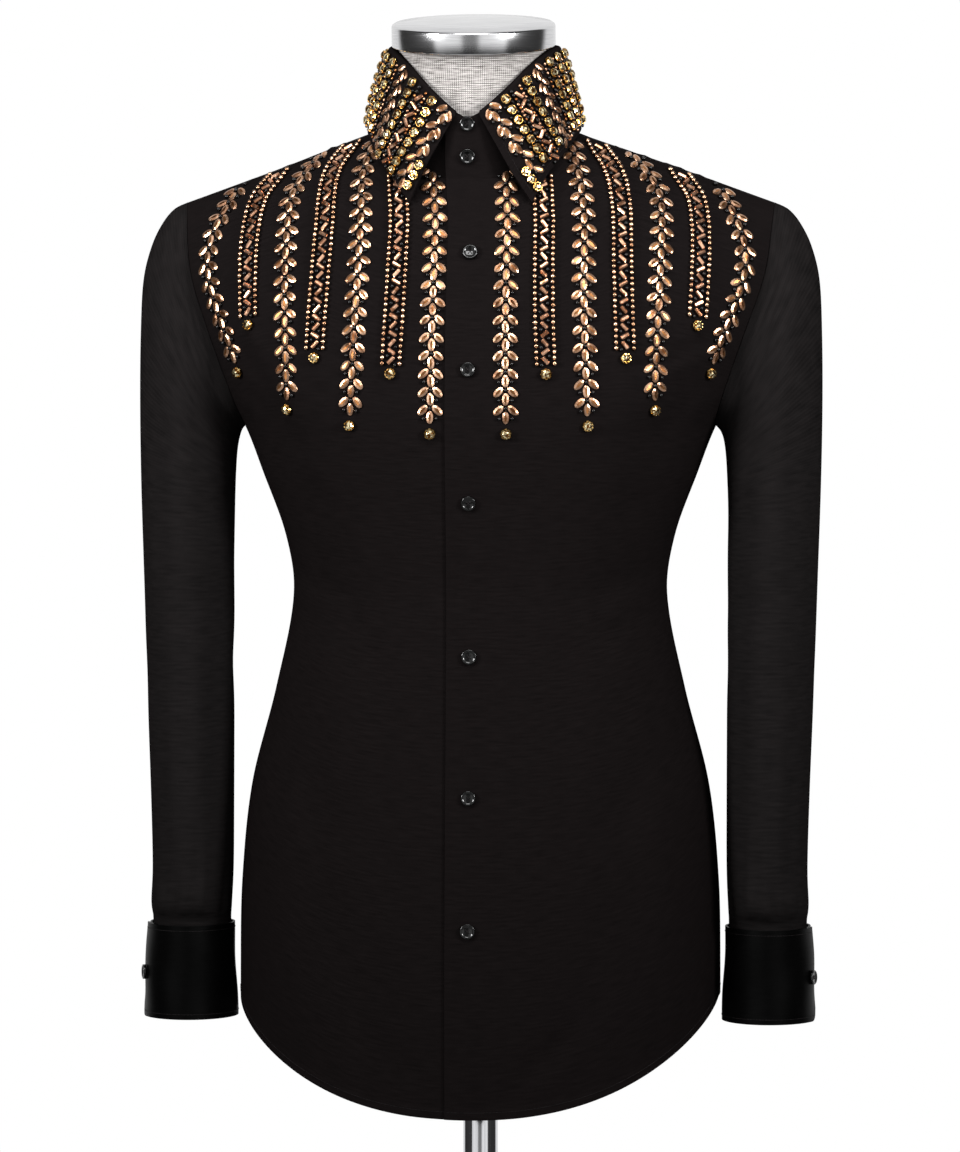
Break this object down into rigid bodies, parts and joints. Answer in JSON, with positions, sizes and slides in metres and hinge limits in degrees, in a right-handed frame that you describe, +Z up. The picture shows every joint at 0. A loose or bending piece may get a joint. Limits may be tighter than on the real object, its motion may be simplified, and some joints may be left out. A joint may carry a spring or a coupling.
{
  "type": "beaded dress shirt on a dress form",
  "caption": "Black long-sleeved dress shirt with beaded collar and hanging bead rows on the chest, worn by a limbless dress form on a pole with a round base.",
  "frame": {"origin": "centre of the round base's underside, where the dress form stands on the floor", "axes": "+Z up along the pole, -Y towards the front of the shirt, +X towards the wearer's left side"},
  "size_m": [0.54, 0.36, 1.6018],
  "materials": {
    "shirt_cloth": "matt fine weave, near black",
    "cuff_satin": "black satin",
    "copper_stones": "faceted, rose gold to copper",
    "bronze_beads": "glossy, golden bronze",
    "black_buttons": "polished black",
    "form_linen": "light grey marled linen",
    "form_steel": "polished and brushed"
  },
  "bodies": {
    "root": {"front_left": "shirt_cloth", "front_right": "shirt_cloth", "back": "shirt_cloth", "sleeve_left": "shirt_cloth", "sleeve_right": "shirt_cloth", "cuff_left": "cuff_satin", "cuff_right": "cuff_satin", "collar_stand": "shirt_cloth", "collar_fall": "shirt_cloth", "leaf_row_left_1": "copper_stones", "leaf_row_left_2": "copper_stones", "leaf_row_left_3": "copper_stones", "leaf_row_left_4": "copper_stones", "leaf_row_right_1": "copper_stones", "leaf_row_right_2": "copper_stones", "leaf_row_right_3": "copper_stones", "leaf_row_right_4": "copper_stones", "bugle_row_left_1": "bronze_beads", "bugle_row_left_2": "bronze_beads", "bugle_row_left_3": "bronze_beads", "bugle_row_right_1": "bronze_beads", "bugle_row_right_2": "bronze_beads", "bugle_row_right_3": "bronze_beads", "button_front_1": "black_buttons", "button_front_2": "black_buttons", "button_front_3": "black_buttons", "button_front_4": "black_buttons", "button_front_5": "black_buttons", "button_front_6": "black_buttons", "button_stand_1": "black_buttons", "button_stand_2": "black_buttons", "button_cuff_left": "black_buttons", "button_cuff_right": "black_buttons", "form_torso": "form_linen", "form_cap": "form_steel", "form_pole": "form_steel", "form_base": "form_steel"}
  },
  "joints": []
}
